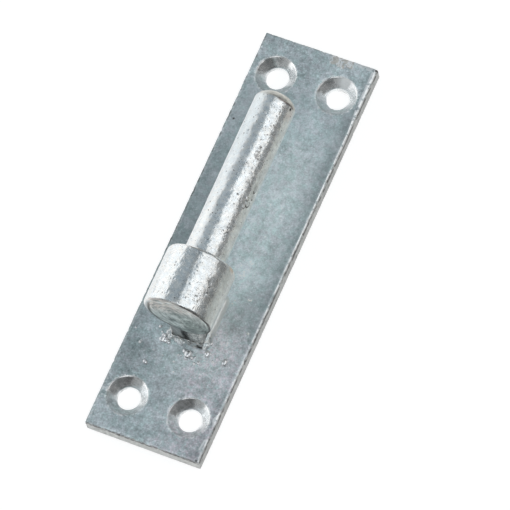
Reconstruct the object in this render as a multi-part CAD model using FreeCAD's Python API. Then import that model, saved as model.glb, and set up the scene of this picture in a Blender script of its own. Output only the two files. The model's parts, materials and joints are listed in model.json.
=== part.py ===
import FreeCAD, Part
import math
import os

# Gate hinge pin on a screw-on plate, in millimetres. The plate lies on its back: +X runs across it,
# +Y runs along it towards the pin's tip and +Z points away from the post that it is screwed to.
# The origin is the middle of the plate's back face.

# Back plate, cut from flat bar
plate_length = 127.0
plate_width = 35.0
plate_thickness = 5.0
bar_edge_radius = 0.6

# Countersunk screw holes, one near each corner
hole_spacing_across = 18.8
hole_spacing_along = 104.0
hole_diameter = 6.5
countersink_diameter = 12.2
countersink_angle = 90.0

# Pin, with its axis along +Y
pin_diameter = 12.2
pin_length = 52.5
pin_stand_off = 19.0
tip_flat_diameter = 8.2
tip_chamfer_length = 2.4

# Boss under the pin, which the gate's eye turns on
boss_diameter = 20.4
boss_length = 18.0
shoulder_position = -14.0
shoulder_round = 1.4
heel_chamfer = 0.8

# Neck between the boss and the plate
neck_width = 9.5
neck_length = 15.0
neck_corner_radius = 1.0
neck_heel_setback = 0.5

# Fillet weld round the neck's foot
weld_leg = 1.8
weld_crown = 0.25

# Places that follow from the sizes above
plate_front = plate_thickness
axis_height = plate_front + pin_stand_off
heel_position = shoulder_position - boss_length
tip_position = shoulder_position + pin_length
neck_heel = heel_position + neck_heel_setback

ACROSS = FreeCAD.Vector(1, 0, 0)
ALONG = FreeCAD.Vector(0, 1, 0)
OUTWARD = FreeCAD.Vector(0, 0, 1)


def rounded_corner(start, corner, end):
    """A quarter-round edge from start to end, tangent to the two sides that meet at corner."""
    centre = start + end - corner
    middle = centre + (corner - centre) * (1 / math.sqrt(2))
    return Part.Arc(start, middle, end).toShape()


def rounded_rectangle(first_corner, right, up, width, height, radius):
    """A closed outline of width by height with round corners, run round from its first corner."""
    corners = [
        first_corner,
        first_corner + right * width,
        first_corner + right * width + up * height,
        first_corner + up * height,
    ]
    directions = [right, up, right * -1, up * -1]
    edges = []
    for index, corner in enumerate(corners):
        arriving = directions[index - 1]
        leaving = directions[index]
        next_corner = corners[(index + 1) % len(corners)]
        edges.append(rounded_corner(corner - arriving * radius, corner, corner + leaving * radius))
        edges.append(Part.makeLine(corner + leaving * radius, next_corner - leaving * radius))
    return Part.Wire(edges)


def polyline(points):
    """Straight edges through the points, in order."""
    return [Part.makeLine(start, end) for start, end in zip(points, points[1:])]


def screw_hole():
    """The cutter for one screw hole: a through bore and its countersink, on the axis of Z."""
    bore_radius = hole_diameter / 2
    sink_radius = countersink_diameter / 2
    sink_depth = (sink_radius - bore_radius) / math.tan(math.radians(countersink_angle / 2))
    bore = Part.makeCylinder(bore_radius, plate_thickness)
    sink_floor = FreeCAD.Vector(0, 0, plate_front - sink_depth)
    sink = Part.makeCone(bore_radius, sink_radius, sink_depth, sink_floor)
    return bore.fuse(sink)


def back_plate():
    """Flat bar with round long edges and square sheared ends, drilled and countersunk."""
    corner = FreeCAD.Vector(-plate_width / 2, -plate_length / 2, 0)
    section = rounded_rectangle(corner, ACROSS, OUTWARD, plate_width, plate_thickness, bar_edge_radius)
    plate = Part.Face(section).extrude(ALONG * plate_length)
    for side in (-1, 1):
        for end in (-1, 1):
            hole = screw_hole()
            hole.translate(FreeCAD.Vector(side * hole_spacing_across / 2, end * hole_spacing_along / 2, 0))
            plate = plate.cut(hole)
    return plate


def turned_pin():
    """The pin and its boss, turned about one axis: heel, boss, rounded shoulder, pin and tapered tip."""

    def point(radius, position):
        return FreeCAD.Vector(0, position, axis_height + radius)

    pin_radius = pin_diameter / 2
    boss_radius = boss_diameter / 2
    shoulder_corner = point(boss_radius, shoulder_position)
    boss_outline = [
        point(0, tip_position),
        point(0, heel_position),
        point(boss_radius - heel_chamfer, heel_position),
        point(boss_radius, heel_position + heel_chamfer),
        point(boss_radius, shoulder_position - shoulder_round),
    ]
    pin_outline = [
        point(boss_radius - shoulder_round, shoulder_position),
        point(pin_radius, shoulder_position),
        point(pin_radius, tip_position - tip_chamfer_length),
        point(tip_flat_diameter / 2, tip_position),
        point(0, tip_position),
    ]
    shoulder = rounded_corner(boss_outline[-1], shoulder_corner, pin_outline[0])
    section = Part.Face(Part.Wire(polyline(boss_outline) + [shoulder] + polyline(pin_outline)))
    return section.revolve(FreeCAD.Vector(0, 0, axis_height), ALONG, 360)


def neck_outline():
    """The neck's rounded outline where it stands on the plate."""
    corner = FreeCAD.Vector(-neck_width / 2, neck_heel, plate_front)
    return rounded_rectangle(corner, ACROSS, ALONG, neck_width, neck_length, neck_corner_radius)


def hinge_pin():
    """Pin, boss and neck in one piece; the neck runs from the plate up into the boss."""
    neck = Part.Face(neck_outline()).extrude(OUTWARD * pin_stand_off)
    return turned_pin().fuse(neck).removeSplitter()


def weld_bead():
    """A crowned fillet weld that runs once round the neck's foot."""
    foot = FreeCAD.Vector(-neck_width / 2, neck_heel + neck_length / 2, plate_front)
    toe = foot - ACROSS * weld_leg
    top = foot + OUTWARD * weld_leg
    crown = foot + (OUTWARD - ACROSS) * (weld_leg / 2 + weld_crown / math.sqrt(2))
    weld_face = Part.Arc(toe, crown, top).toShape()
    section = Part.Wire(polyline([top, foot, toe]) + [weld_face])
    return neck_outline().makePipeShell([section], True, True)


def main():
    """Builds each piece and writes it to its own file."""
    os.makedirs("parts", exist_ok=True)
    pieces = {
        "back_plate": back_plate(),
        "hinge_pin": hinge_pin(),
        "weld_bead": weld_bead(),
    }
    for name, shape in pieces.items():
        shape.exportStep(f"parts/{name}.step")
        print(name, shape.ShapeType, len(shape.Solids), shape.isValid(), round(shape.Volume, 2))


main()
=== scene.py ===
"""Looks of a galvanised gate hinge pin on its screw-on plate.

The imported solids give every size. Each piece is modelled again with a hot-dipped skin: soft uneven edges,
zinc runs, pits and lumps, a rippled weld and the spatter round it. Lengths are in millimetres in the classes
and become metres when a mesh is made.
"""
import json
import logging
import math
import random
from contextlib import contextmanager
from dataclasses import dataclass, field
from enum import Enum
from typing import Any, Callable, Iterator, Mapping, Sequence

import bmesh
import bpy
import numpy as np
from mathutils import Matrix, Vector, noise


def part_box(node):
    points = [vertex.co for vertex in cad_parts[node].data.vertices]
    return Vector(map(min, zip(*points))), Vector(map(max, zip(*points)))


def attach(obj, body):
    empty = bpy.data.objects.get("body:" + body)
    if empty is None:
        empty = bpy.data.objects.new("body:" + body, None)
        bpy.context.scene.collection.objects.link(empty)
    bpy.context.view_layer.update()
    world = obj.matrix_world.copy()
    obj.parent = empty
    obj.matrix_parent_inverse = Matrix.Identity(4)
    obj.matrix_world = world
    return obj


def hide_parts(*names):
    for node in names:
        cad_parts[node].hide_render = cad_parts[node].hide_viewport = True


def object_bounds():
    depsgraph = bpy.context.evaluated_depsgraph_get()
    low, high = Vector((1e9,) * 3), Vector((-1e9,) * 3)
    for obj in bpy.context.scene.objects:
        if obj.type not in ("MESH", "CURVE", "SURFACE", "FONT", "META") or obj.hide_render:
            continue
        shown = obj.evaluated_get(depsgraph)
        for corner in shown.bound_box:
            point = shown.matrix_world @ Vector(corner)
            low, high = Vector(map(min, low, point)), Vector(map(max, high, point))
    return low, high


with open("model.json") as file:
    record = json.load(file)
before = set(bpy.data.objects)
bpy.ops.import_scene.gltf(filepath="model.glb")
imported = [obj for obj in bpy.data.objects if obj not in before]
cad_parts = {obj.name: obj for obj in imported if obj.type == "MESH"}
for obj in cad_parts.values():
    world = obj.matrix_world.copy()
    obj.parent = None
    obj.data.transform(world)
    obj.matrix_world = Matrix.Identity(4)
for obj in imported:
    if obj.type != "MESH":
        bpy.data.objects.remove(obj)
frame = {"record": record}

CAD_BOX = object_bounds()
MM = 0.001
BODY = "root"
PHOTO_PIXELS = 510
SENSOR_WIDTH = 36.0

Colour = tuple[float, float, float]
Point = tuple[float, float, float]

log = logging.getLogger("gate_hinge_pin")


class Select(Enum):
    """What a click picks in edit mode."""

    POINTS = "VERT"
    EDGES = "EDGE"
    FACES = "FACE"


@dataclass(frozen=True)
class Sizes:
    """The part's sizes in millimetres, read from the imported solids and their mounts."""

    plate_width: float
    plate_length: float
    plate_thickness: float
    hole_across: float
    hole_along: float
    hole_radius: float
    pin_radius: float
    boss_radius: float
    axis_height: float
    heel: float
    shoulder: float
    chamfer_start: float
    tip: float
    neck_width: float
    neck_heel: float
    neck_end: float
    weld_leg: float

    @property
    def neck_length(self) -> float:
        """The neck's length along the plate."""
        return self.neck_end - self.neck_heel

    @property
    def neck_middle(self) -> float:
        """The middle of the neck along the plate."""
        return (self.neck_heel + self.neck_end) / 2

    @classmethod
    def from_frame(cls) -> "Sizes":
        """Reads the sizes from the frame.

        Returns:
            The sizes that the pieces are modelled from.
        """
        plate_low, plate_high = (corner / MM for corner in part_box("back_plate"))
        pin_low, pin_high = (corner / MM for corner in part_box("hinge_pin"))
        weld_low, weld_high = (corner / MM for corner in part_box("weld_bead"))
        mounts = {mount["name"]: mount for mount in frame["record"]["mounts"]}
        holes = mounts["screw_holes"]["dims"]
        pin = mounts["pin"]
        leg = weld_high.z - weld_low.z
        return cls(
            plate_width=plate_high.x - plate_low.x,
            plate_length=plate_high.y - plate_low.y,
            plate_thickness=plate_high.z - plate_low.z,
            hole_across=holes["spacing_x_mm"] / 2,
            hole_along=holes["spacing_y_mm"] / 2,
            hole_radius=holes["hole_r_mm"],
            pin_radius=pin["dims"]["r_mm"],
            boss_radius=(pin_high.x - pin_low.x) / 2,
            axis_height=pin["pos_m"][2] / MM,
            heel=pin_low.y,
            shoulder=mounts["shoulder"]["pos_m"][1] / MM,
            chamfer_start=pin["pos_m"][1] / MM + pin["dims"]["length_mm"] / 2,
            tip=pin_high.y,
            neck_width=weld_high.x - weld_low.x - 2 * leg,
            neck_heel=weld_low.y + leg,
            neck_end=weld_high.y - leg,
            weld_leg=leg,
        )


class Bench:
    """Modelling steps, done as by hand on one object at a time."""

    @staticmethod
    def clear() -> None:
        """Deselects every object."""
        bpy.ops.object.select_all(action="DESELECT")

    @staticmethod
    def take(obj: bpy.types.Object) -> None:
        """Makes one object the only selected one, and the active one.

        Args:
            obj: The object to work on.
        """
        Bench.clear()
        obj.select_set(True)
        bpy.context.view_layer.objects.active = obj

    @staticmethod
    def settle(name: str) -> bpy.types.Object:
        """Names the new primitive and moves its place into its mesh.

        Args:
            name: The object's new name.

        Returns:
            The active object, at the origin.
        """
        obj = bpy.context.object
        obj.name = name
        obj.data.name = name
        bpy.ops.object.transform_apply(location=True, rotation=True, scale=True)
        return obj

    @staticmethod
    def block(name: str, low: Point, high: Point) -> bpy.types.Object:
        """Adds a block between two corners, given in millimetres.

        Args:
            name: The object's name.
            low: Lowest corner.
            high: Highest corner.

        Returns:
            The new object.
        """
        Bench.clear()
        first, last = Vector(low) * MM, Vector(high) * MM
        bpy.ops.mesh.primitive_cube_add(size=1, location=(first + last) / 2, scale=last - first)
        return Bench.settle(name)

    @staticmethod
    @contextmanager
    def editing(obj: bpy.types.Object, mode: Select) -> Iterator[None]:
        """Opens edit mode on an object with nothing selected, and closes it afterwards.

        Args:
            obj: The object to edit.
            mode: What is picked.
        """
        Bench.take(obj)
        bpy.ops.object.mode_set(mode="EDIT")
        bpy.ops.mesh.select_mode(type=mode.value)
        bpy.ops.mesh.select_all(action="DESELECT")
        yield
        bpy.ops.object.mode_set(mode="OBJECT")

    @staticmethod
    def pick_edges(obj: bpy.types.Object, wanted: Callable[[Vector, Vector], bool]) -> None:
        """Selects the edges whose two ends, in millimetres, pass a test.

        Args:
            obj: The object in edit mode.
            wanted: The test on an edge's two ends.
        """
        mesh = bmesh.from_edit_mesh(obj.data)
        for edge in mesh.edges:
            start, end = (corner.co / MM for corner in edge.verts)
            edge.select_set(wanted(start, end))
        bmesh.update_edit_mesh(obj.data)

    @staticmethod
    def pick_all() -> None:
        """Selects all of the mesh in edit mode."""
        bpy.ops.mesh.select_all(action="SELECT")

    @staticmethod
    def draw_out(step: Sequence[float]) -> None:
        """Extrudes what is selected by a step in metres."""
        bpy.ops.mesh.extrude_region_move(TRANSFORM_OT_translate={"value": step})

    @staticmethod
    def face_outward() -> None:
        """Turns all faces of the mesh in edit mode outward."""
        Bench.pick_all()
        bpy.ops.mesh.normals_make_consistent(inside=False)

    @staticmethod
    def finish_with(obj: bpy.types.Object, kind: str, **settings: Any) -> None:
        """Adds a modifier, sets it and applies it.

        Args:
            obj: The object to change.
            kind: The modifier's type.
            **settings: The modifier's values.
        """
        Bench.take(obj)
        modifier = obj.modifiers.new(kind.title(), kind)
        for name, value in settings.items():
            setattr(modifier, name, value)
        bpy.ops.object.modifier_apply(modifier=modifier.name)

    @staticmethod
    def cut(obj: bpy.types.Object, cutter: bpy.types.Object) -> None:
        """Cuts one object out of another and throws the cutter away.

        Args:
            obj: The object that stays.
            cutter: The shape to remove.
        """
        Bench.finish_with(obj, "BOOLEAN", operation="DIFFERENCE", solver="EXACT", object=cutter)
        bpy.data.objects.remove(cutter)

    @staticmethod
    def join(obj: bpy.types.Object, others: Sequence[bpy.types.Object]) -> None:
        """Joins other objects into one.

        Args:
            obj: The object that stays.
            others: The objects that become part of it.
        """
        Bench.take(obj)
        for other in others:
            other.select_set(True)
        bpy.ops.object.join()

    @staticmethod
    def skin(obj: bpy.types.Object, voxel: float, smoothing: int) -> None:
        """Runs one even skin over a shape and softens its corners, as a zinc bath does.

        Args:
            obj: The object to change.
            voxel: The skin's cell size in millimetres.
            smoothing: How many times the skin is smoothed.
        """
        Bench.finish_with(obj, "REMESH", mode="VOXEL", voxel_size=voxel * MM, use_smooth_shade=True)
        Bench.finish_with(obj, "SMOOTH", factor=0.5, iterations=smoothing)


class Relief:
    """Small moves of a mesh's points along their normals: waves, pits and lumps, in millimetres.

    x, y and z keep the points' places from before any move.
    """

    def __init__(self, obj: bpy.types.Object) -> None:
        """Reads the points and normals of a mesh.

        Args:
            obj: The object with the mesh.
        """
        self.mesh = obj.data
        count = len(self.mesh.vertices)
        self.points = np.zeros(count * 3)
        self.mesh.vertices.foreach_get("co", self.points)
        self.points = self.points.reshape(-1, 3) / MM
        self.x, self.y, self.z = self.points.T.copy()
        normals = np.zeros(count * 3)
        self.mesh.vertex_normals.foreach_get("vector", normals)
        self.normals = normals.reshape(-1, 3)
        self.marks: dict[str, np.ndarray] = {}

    def noise(self, size: float, seed: float, octaves: int = 1) -> np.ndarray:
        """Smooth noise at every point.

        Args:
            size: The size of its lumps.
            seed: Moves the pattern.
            octaves: How many finer layers it has.

        Returns:
            One value from about -1 to 1 for each point.
        """
        shift = Vector((seed, 2.3 * seed, 4.1 * seed))
        places = (Vector(point) / size + shift for point in self.points)
        if octaves == 1:
            return np.array([noise.noise(place) for place in places])
        return np.array([noise.fractal(place, 1.0, 2.0, octaves) for place in places])

    def push(self, distance: np.ndarray) -> None:
        """Moves every point along its normal."""
        self.points += self.normals * distance[:, None]

    def dent(self, centre: Point, radius: float, depth: float, mark: str) -> None:
        """Sinks a soft round pit, or raises a lump if depth is negative.

        Args:
            centre: The pit's middle.
            radius: Its radius.
            depth: How deep it is.
            mark: The attribute that remembers it.
        """
        away = np.linalg.norm(self.points - np.array(centre), axis=1)
        inside = away < radius
        share = (1 - (away[inside] / radius) ** 2) ** 2
        self.points[inside] -= self.normals[inside] * (depth * share)[:, None]
        self.marks.setdefault(mark, np.zeros(len(self.points)))
        self.marks[mark][inside] = np.maximum(self.marks[mark][inside], share)

    def write(self, low: Point, high: Point) -> None:
        """Writes the points back, held inside a box, with the marks as attributes.

        Args:
            low: Lowest corner of the box.
            high: Highest corner of the box.
        """
        self.points = np.clip(self.points, np.array(low), np.array(high))
        self.mesh.vertices.foreach_set("co", (self.points * MM).ravel())
        for name, values in self.marks.items():
            attribute = self.mesh.attributes.new(name, "FLOAT", "POINT")
            attribute.data.foreach_set("value", values)
        self.mesh.update()


class Field:
    """A value or colour that varies over a surface: one output socket, with arithmetic on it."""

    def __init__(self, sheet: "Sheet", socket: bpy.types.NodeSocket) -> None:
        """Wraps a socket of a node on a sheet."""
        self.sheet = sheet
        self.socket = socket

    def _math(self, operation: str, first: Any, second: Any) -> "Field":
        """Adds one Math node."""
        return self.sheet.add("ShaderNodeMath", {"operation": operation}, {0: first, 1: second})

    def __add__(self, other: Any) -> "Field":
        """self + other."""
        return self._math("ADD", self, other)

    def __radd__(self, other: Any) -> "Field":
        """other + self."""
        return self._math("ADD", other, self)

    def __sub__(self, other: Any) -> "Field":
        """self - other."""
        return self._math("SUBTRACT", self, other)

    def __rsub__(self, other: Any) -> "Field":
        """other - self."""
        return self._math("SUBTRACT", other, self)

    def __mul__(self, other: Any) -> "Field":
        """self * other."""
        return self._math("MULTIPLY", self, other)

    def __rmul__(self, other: Any) -> "Field":
        """other * self."""
        return self._math("MULTIPLY", other, self)

    def __pow__(self, other: Any) -> "Field":
        """self to the power of other."""
        return self._math("POWER", self, other)

    def __abs__(self) -> "Field":
        """self without its sign."""
        return self._math("ABSOLUTE", self, 0.0)

    def sine(self) -> "Field":
        """The sine of self, in radians."""
        return self._math("SINE", self, 0.0)

    def at_most(self, other: Any) -> "Field":
        """The smaller of the two."""
        return self._math("MINIMUM", self, other)

    def at_least(self, other: Any) -> "Field":
        """The larger of the two."""
        return self._math("MAXIMUM", self, other)

    def bearing(self, other: Any) -> "Field":
        """The turn in degrees from other towards self."""
        return self._math("ARCTAN2", self, other) * math.degrees(1)

    def near(self, middle: float, reach: float) -> "Field":
        """1 at a value and 0 as far as reach from it, smooth between them."""
        return abs(self - middle).span(reach, 0.0)

    def span(self, low: float, high: float) -> "Field":
        """A smooth step between two values, reversed if low is above high.

        Args:
            low: Where the step is still 0.
            high: Where the step has come to 1.

        Returns:
            The step, from 0 to 1.
        """
        settings = {"interpolation_type": "SMOOTHSTEP", "clamp": True}
        sockets = {"Value": self, "From Min": low, "From Max": high}
        return self.sheet.add("ShaderNodeMapRange", settings, sockets)


class Sheet:
    """The node tree of one material or of the world."""

    def __init__(self, tree: bpy.types.NodeTree) -> None:
        """Starts on an empty tree."""
        self.tree = tree
        self.tree.nodes.clear()

    @classmethod
    def of_material(cls, name: str) -> "tuple[bpy.types.Material, Sheet]":
        """Makes a new material.

        Args:
            name: The material's name.

        Returns:
            The material and its empty sheet.
        """
        material = bpy.data.materials.new(name)
        material.use_nodes = True
        return material, cls(material.node_tree)

    def add(self, kind: str, settings: Mapping[str, Any] | None = None,
            sockets: Mapping[int | str, Any] | None = None, output: int | str = 0) -> Field:
        """Adds a node, sets it and links its sockets.

        Args:
            kind: The node's type.
            settings: Its own settings, set first.
            sockets: Values or links of its input sockets, by name, identifier or number.
            output: The output socket that is returned.

        Returns:
            The node's output.
        """
        node = self.tree.nodes.new(kind)
        for name, value in (settings or {}).items():
            setattr(node, name, value)
        for name, value in (sockets or {}).items():
            socket = self._find(node.inputs, name)
            if isinstance(value, Field):
                self.tree.links.new(value.socket, socket)
            else:
                socket.default_value = value
        if not node.outputs:
            return Field(self, None)
        return Field(self, self._find(node.outputs, output))

    @staticmethod
    def _find(sockets: Any, name: int | str) -> bpy.types.NodeSocket:
        """Finds a socket.

        Args:
            sockets: A node's inputs or outputs.
            name: The socket's number, identifier or name.

        Returns:
            The socket.
        """
        if isinstance(name, int):
            return sockets[name]
        for socket in sockets:
            if socket.identifier == name:
                return socket
        return sockets[name]

    def place(self) -> Field:
        """The surface point in millimetres."""
        point = self.add("ShaderNodeTexCoord", output="Object")
        return self.add("ShaderNodeVectorMath", {"operation": "SCALE"}, {0: point, "Scale": 1 / MM})

    def stretch(self, point: Field, scale: Point) -> Field:
        """A point with each of its coordinates multiplied."""
        return self.add("ShaderNodeVectorMath", {"operation": "MULTIPLY"}, {0: point, 1: scale})

    def shade(self, colour: Any, tone: Field) -> Field:
        """A colour made lighter or darker."""
        return self.add("ShaderNodeVectorMath", {"operation": "SCALE"}, {0: colour, "Scale": tone}, "Vector")

    def vector(self, x: Field, y: Field, z: Field) -> Field:
        """A point from its three coordinates."""
        return self.add("ShaderNodeCombineXYZ", None, {0: x, 1: y, 2: z})

    def axis(self, point: Field, name: str) -> Field:
        """One coordinate of a point."""
        return self.add("ShaderNodeSeparateXYZ", None, {0: point}, name)

    def cloud(self, point: Field, size: float, detail: float = 2.0, rough: float = 0.5) -> Field:
        """Soft noise from 0 to 1 with lumps of a size in millimetres."""
        sockets = {"Vector": point, "Scale": 1 / size, "Detail": detail, "Roughness": rough}
        return self.add("ShaderNodeTexNoise", {"normalize": True}, sockets, "Fac")

    def seams(self, point: Field, size: float) -> Field:
        """The distance from the seams between cells of a size in millimetres."""
        sockets = {"Vector": point, "Scale": 1 / size}
        return self.add("ShaderNodeTexVoronoi", {"feature": "DISTANCE_TO_EDGE"}, sockets, "Distance")

    def blend(self, share: Any, first: Any, second: Any) -> Field:
        """A colour between two.

        Args:
            share: 0 for the first colour, 1 for the second.
            first: A plain colour or one that varies.
            second: The same.

        Returns:
            The mixed colour.
        """
        sockets = {"Factor_Float": share, "A_Color": first, "B_Color": second}
        for name, value in sockets.items():
            if isinstance(value, tuple):
                sockets[name] = (*value, 1.0)
        return self.add("ShaderNodeMix", {"data_type": "RGBA"}, sockets, "Result_Color")

    def number(self, share: Any, first: Any, second: Any) -> Field:
        """A number between two, by share."""
        return self.add("ShaderNodeMix", None, {"Factor_Float": share, "A_Float": first, "B_Float": second})

    def mark(self, name: str) -> Field:
        """An attribute that the piece's relief left on its points."""
        return self.add("ShaderNodeAttribute", {"attribute_name": name}, None, "Fac")

    def bump(self, height: Field, depth: float, below: Field | None = None) -> Field:
        """A bumped normal.

        Args:
            height: Heights from 0 to 1.
            depth: What they stand for, in millimetres.
            below: The normal that it adds to, if not the plain one.

        Returns:
            The normal.
        """
        sockets = {"Height": height, "Distance": depth * MM, "Strength": 1.0}
        if below is not None:
            sockets["Normal"] = below
        return self.add("ShaderNodeBump", None, sockets, "Normal")


@dataclass
class Coat:
    """What a finish gives at each point of a surface, and the coordinates of that point."""

    sheet: Sheet
    point: Field
    colour: Field
    rough: Field
    metal: Field | float
    relief: Field | float = 1.0
    x: Field = field(init=False)
    y: Field = field(init=False)
    z: Field = field(init=False)

    def __post_init__(self) -> None:
        """Splits the point into its coordinates."""
        self.x, self.y, self.z = (self.sheet.axis(self.point, name) for name in "XYZ")

    def cloud(self, size: float, detail: float = 2.0, rough: float = 0.5) -> Field:
        """Soft noise over the surface, from 0 to 1."""
        return self.sheet.cloud(self.point, size, detail, rough)

    def tint(self, share: Any, colour: Any) -> None:
        """Lays another colour over the coat, by share."""
        self.colour = self.sheet.blend(share, self.colour, colour)

    def shade(self, tone: Field) -> None:
        """Makes the coat lighter or darker."""
        self.colour = self.sheet.shade(self.colour, tone)


@dataclass(frozen=True)
class ZincFinish:
    """Hot-dipped zinc: a mottled grey metal with a fine grain."""

    sizes: Sizes
    name: str
    cool: Colour
    warm: Colour
    metallic: float
    roughness: float
    mottle_size: float
    grain_size: float
    grain_depth: float
    mottle_depth: float
    fleck_share: float
    contrast: float
    fleck_and_highlight_colour: Colour = (0.9, 0.92, 0.93)
    pit_and_shade_colour: Colour = (0.06, 0.06, 0.06)

    def material(self) -> bpy.types.Material:
        """Builds the material.

        Returns:
            The material, named after the finish.
        """
        material, sheet = Sheet.of_material(f"{self.name}_skin")
        self.paint(sheet)
        return material

    def paint(self, sheet: Sheet) -> None:
        """Lays out the material's nodes.

        Args:
            sheet: The material's empty sheet.
        """
        point = sheet.place()
        patch = sheet.cloud(point, 4 * self.mottle_size, 2.0)
        mottle = sheet.cloud(point, self.mottle_size, 3.0, 0.6)
        grain = sheet.cloud(point, self.grain_size, 2.0, 0.6)
        fine = sheet.cloud(point, 0.4 * self.grain_size, 2.0, 0.6)
        hue = sheet.cloud(point, 0.5 * self.mottle_size, 3.0, 0.6).span(0.36, 0.64)
        tone = 0.45 * patch + 0.6 * mottle + 0.75 * grain + 0.75 * fine - 1.275
        rough = self.roughness + 0.2 * (mottle - 0.5) + 0.2 * (grain - 0.5)
        coat = Coat(sheet, point, sheet.blend(hue, self.cool, self.warm), rough, self.metallic)
        coat.shade(1.0 + self.contrast * tone)
        coat.tint(self.fleck_share * fine.span(0.62, 0.72), self.fleck_and_highlight_colour)
        self.zones(coat)
        # Lumps are painted near white as highlights.
        coat.tint(0.9 * sheet.mark("lump"), self.fleck_and_highlight_colour)
        # The pit mark darkens real pits, and carries painted shade at the flakes' feet, in the neck's crack
        # and in the weld's hole.
        pit = sheet.mark("pit").span(0.05, 0.8)
        coat.tint(pit, self.pit_and_shade_colour)
        normal = sheet.bump(mottle * coat.relief, self.mottle_depth)
        normal = sheet.bump(grain * coat.relief, self.grain_depth, normal)
        sockets = {"Base Color": coat.colour, "Roughness": coat.rough + 0.2 * pit, "Metallic": coat.metal}
        shader = sheet.add("ShaderNodeBsdfPrincipled", None, {**sockets, "Normal": normal}, "BSDF")
        sheet.add("ShaderNodeOutputMaterial", None, {"Surface": shader})

    def zones(self, coat: Coat) -> None:
        """Changes the coat in parts of the piece; plain zinc has none."""


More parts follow.
